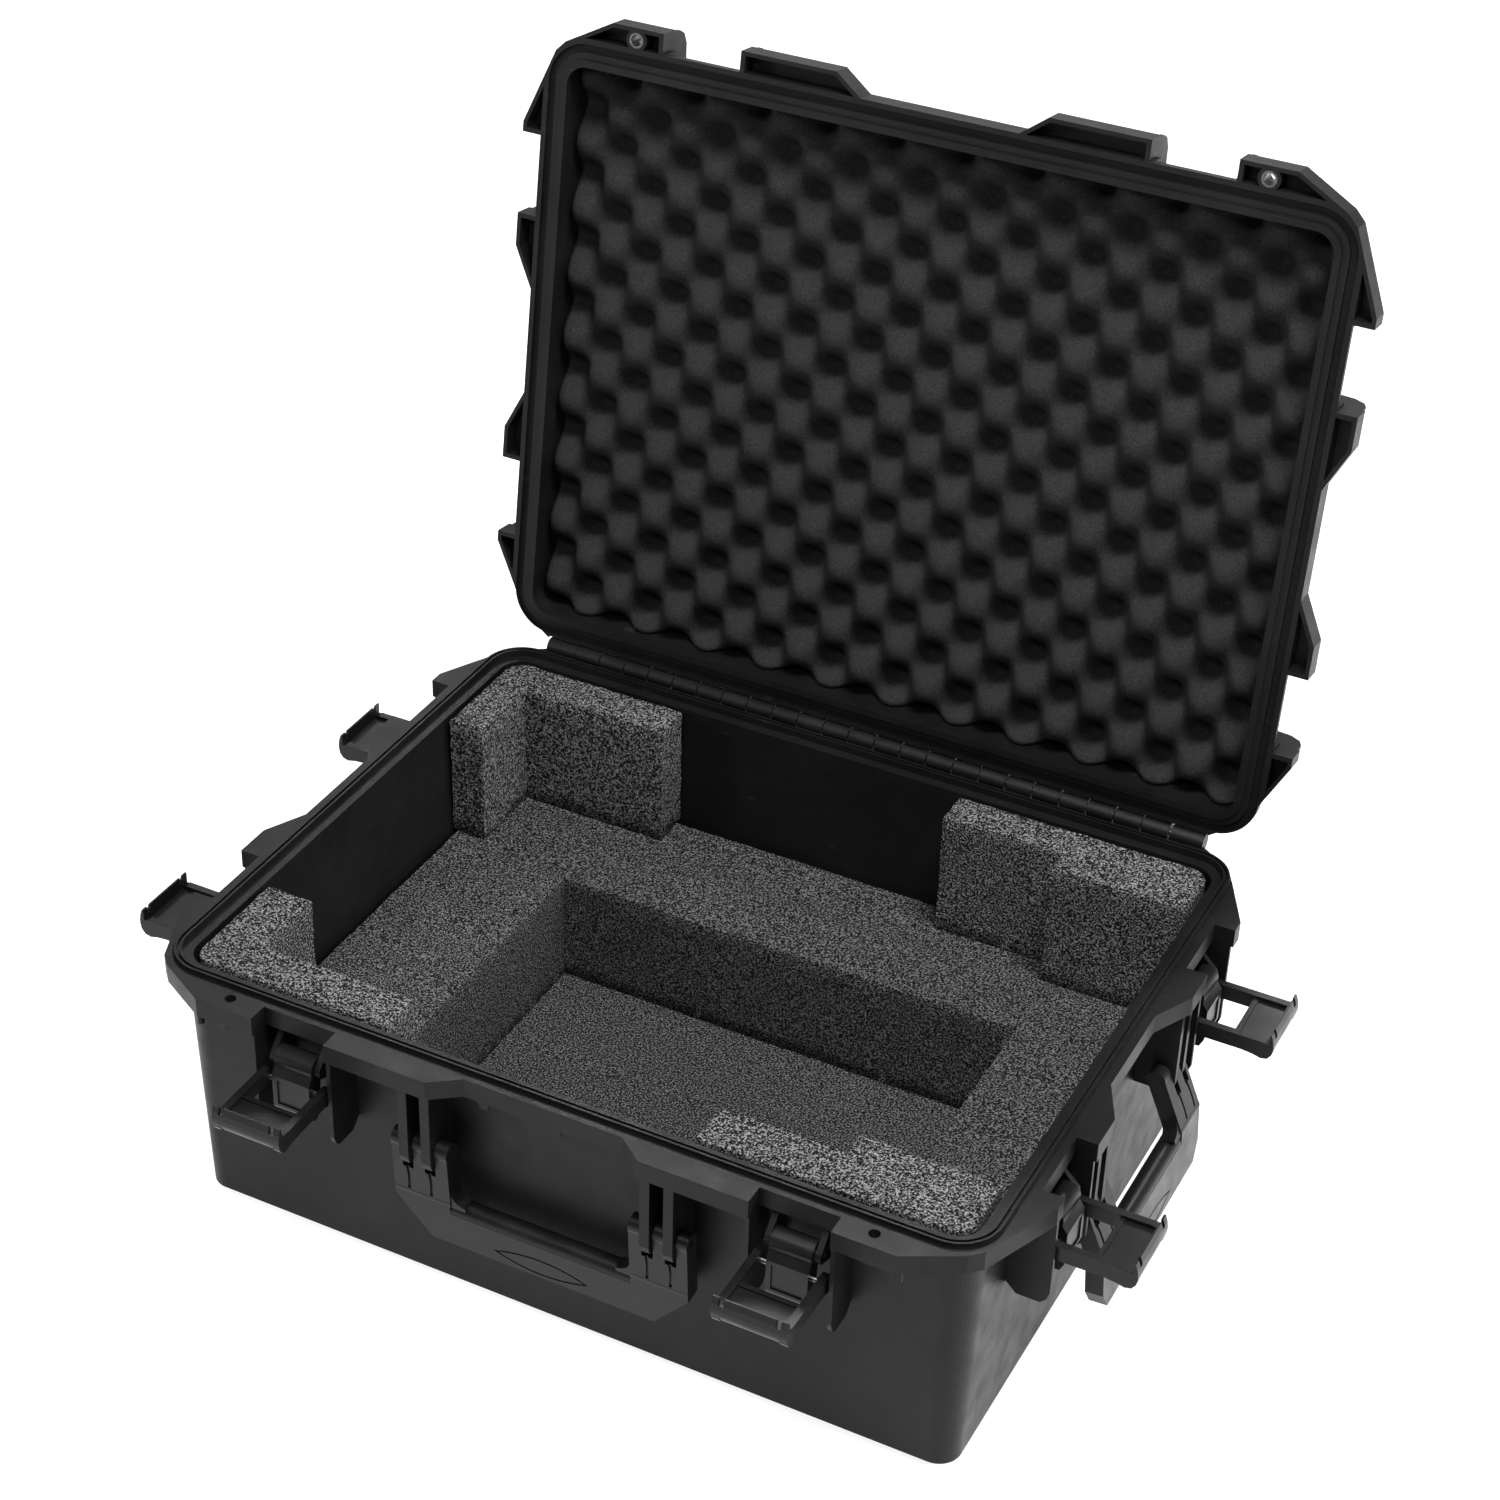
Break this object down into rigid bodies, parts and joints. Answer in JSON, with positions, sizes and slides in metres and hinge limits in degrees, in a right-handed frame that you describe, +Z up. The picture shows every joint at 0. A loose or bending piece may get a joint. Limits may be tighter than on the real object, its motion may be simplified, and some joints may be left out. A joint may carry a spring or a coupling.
{
  "type": "hard equipment case",
  "caption": "Deep hard plastic equipment case standing open, with a hinged lid, claw latches, swing handles and grey foam inserts.",
  "frame": {"origin": "middle of the flat underside of the base", "axes": "+Z up; -Y towards the front with two latches and the front handle; +Y towards the lid hinge; +X to the right seen from the front"},
  "size_m": [0.753, 0.6679, 0.6976],
  "materials": {
    "case_plastic": "textured",
    "latch_plastic": "satin",
    "steel": "brushed",
    "seal_rubber": "matt",
    "foam": "open-cell foam"
  },
  "bodies": {
    "base": {"base_shell": "case_plastic", "hinge_pin": "steel", "floor_foam": "foam", "pocket_foam": "foam", "corner_foam_back_left": "foam", "corner_foam_back_right": "foam", "corner_foam_front_left": "foam", "corner_foam_front_right": "foam", "handle_pins_front": "steel", "handle_pins_right": "steel", "handle_pins_left": "steel", "lever_pin_front_left": "steel", "lever_pin_front_right": "steel", "lever_pin_right_front": "steel", "lever_pin_right_back": "steel", "lever_pin_left_front": "steel", "lever_pin_left_back": "steel"},
    "lid": {"lid_shell": "case_plastic", "gasket_seal": "seal_rubber", "padlock_eyelets": "steel", "lid_foam": "foam"},
    "handle_front": {"handle_front": "latch_plastic"},
    "handle_right": {"handle_right": "latch_plastic"},
    "handle_left": {"handle_left": "latch_plastic"},
    "latch_lever_front_left": {"latch_lever_front_left": "latch_plastic", "claw_pin_front_left": "steel"},
    "latch_claw_front_left": {"latch_claw_front_left": "latch_plastic"},
    "latch_lever_front_right": {"latch_lever_front_right": "latch_plastic", "claw_pin_front_right": "steel"},
    "latch_claw_front_right": {"latch_claw_front_right": "latch_plastic"},
    "latch_lever_right_front": {"latch_lever_right_front": "latch_plastic", "claw_pin_right_front": "steel"},
    "latch_claw_right_front": {"latch_claw_right_front": "latch_plastic"},
    "latch_lever_right_back": {"latch_lever_right_back": "latch_plastic", "claw_pin_right_back": "steel"},
    "latch_claw_right_back": {"latch_claw_right_back": "latch_plastic"},
    "latch_lever_left_front": {"latch_lever_left_front": "latch_plastic", "claw_pin_left_front": "steel"},
    "latch_claw_left_front": {"latch_claw_left_front": "latch_plastic"},
    "latch_lever_left_back": {"latch_lever_left_back": "latch_plastic", "claw_pin_left_back": "steel"},
    "latch_claw_left_back": {"latch_claw_left_back": "latch_plastic"}
  },
  "joints": [
    {"name": "lid_hinge", "type": "hinge", "parent": "base", "child": "lid", "pos_m": [0, 0.241, 0.212], "axis": [1, 0, 0], "range_deg": [0, 98.3]},
    {"name": "handle_front_swing", "type": "hinge", "parent": "base", "child": "handle_front", "pos_m": [0, -0.239, 0.1445], "axis": [-1, 0, 0], "range_deg": [0, 100]},
    {"name": "handle_right_swing", "type": "hinge", "parent": "base", "child": "handle_right", "pos_m": [0.3115, 0, 0.1445], "axis": [0, -1, 0], "range_deg": [-21, 77]},
    {"name": "handle_left_swing", "type": "hinge", "parent": "base", "child": "handle_left", "pos_m": [-0.3115, 0, 0.1445], "axis": [0, 1, 0], "range_deg": [-21, 77]},
    {"name": "latch_lever_front_left_swing", "type": "hinge", "parent": "base", "child": "latch_lever_front_left", "pos_m": [-0.183, -0.24, 0.177], "axis": [1, 0, 0], "range_deg": [-90, 0]},
    {"name": "latch_claw_front_left_swing", "type": "hinge", "parent": "latch_lever_front_left", "child": "latch_claw_front_left", "pos_m": [-0.183, -0.246, 0.1605], "axis": [-1, 0, 0], "range_deg": [0, 90]},
    {"name": "latch_lever_front_right_swing", "type": "hinge", "parent": "base", "child": "latch_lever_front_right", "pos_m": [0.183, -0.24, 0.177], "axis": [1, 0, 0], "range_deg": [-90, 0]},
    {"name": "latch_claw_front_right_swing", "type": "hinge", "parent": "latch_lever_front_right", "child": "latch_claw_front_right", "pos_m": [0.183, -0.246, 0.1605], "axis": [-1, 0, 0], "range_deg": [0, 90]},
    {"name": "latch_lever_right_front_swing", "type": "hinge", "parent": "base", "child": "latch_lever_right_front", "pos_m": [0.3125, -0.127, 0.177], "axis": [0, 1, 0], "range_deg": [-90, 0]},
    {"name": "latch_claw_right_front_swing", "type": "hinge", "parent": "latch_lever_right_front", "child": "latch_claw_right_front", "pos_m": [0.3185, -0.127, 0.1605], "axis": [0, -1, 0], "range_deg": [0, 90]},
    {"name": "latch_lever_right_back_swing", "type": "hinge", "parent": "base", "child": "latch_lever_right_back", "pos_m": [0.3125, 0.127, 0.177], "axis": [0, 1, 0], "range_deg": [-90, 0]},
    {"name": "latch_claw_right_back_swing", "type": "hinge", "parent": "latch_lever_right_back", "child": "latch_claw_right_back", "pos_m": [0.3185, 0.127, 0.1605], "axis": [0, -1, 0], "range_deg": [0, 90]},
    {"name": "latch_lever_left_front_swing", "type": "hinge", "parent": "base", "child": "latch_lever_left_front", "pos_m": [-0.3125, -0.127, 0.177], "axis": [0, -1, 0], "range_deg": [-90, 0]},
    {"name": "latch_claw_left_front_swing", "type": "hinge", "parent": "latch_lever_left_front", "child": "latch_claw_left_front", "pos_m": [-0.3185, -0.127, 0.1605], "axis": [0, 1, 0], "range_deg": [0, 90]},
    {"name": "latch_lever_left_back_swing", "type": "hinge", "parent": "base", "child": "latch_lever_left_back", "pos_m": [-0.3125, 0.127, 0.177], "axis": [0, -1, 0], "range_deg": [-90, 0]},
    {"name": "latch_claw_left_back_swing", "type": "hinge", "parent": "latch_lever_left_back", "child": "latch_claw_left_back", "pos_m": [-0.3185, 0.127, 0.1605], "axis": [0, 1, 0], "range_deg": [0, 90]}
  ]
}
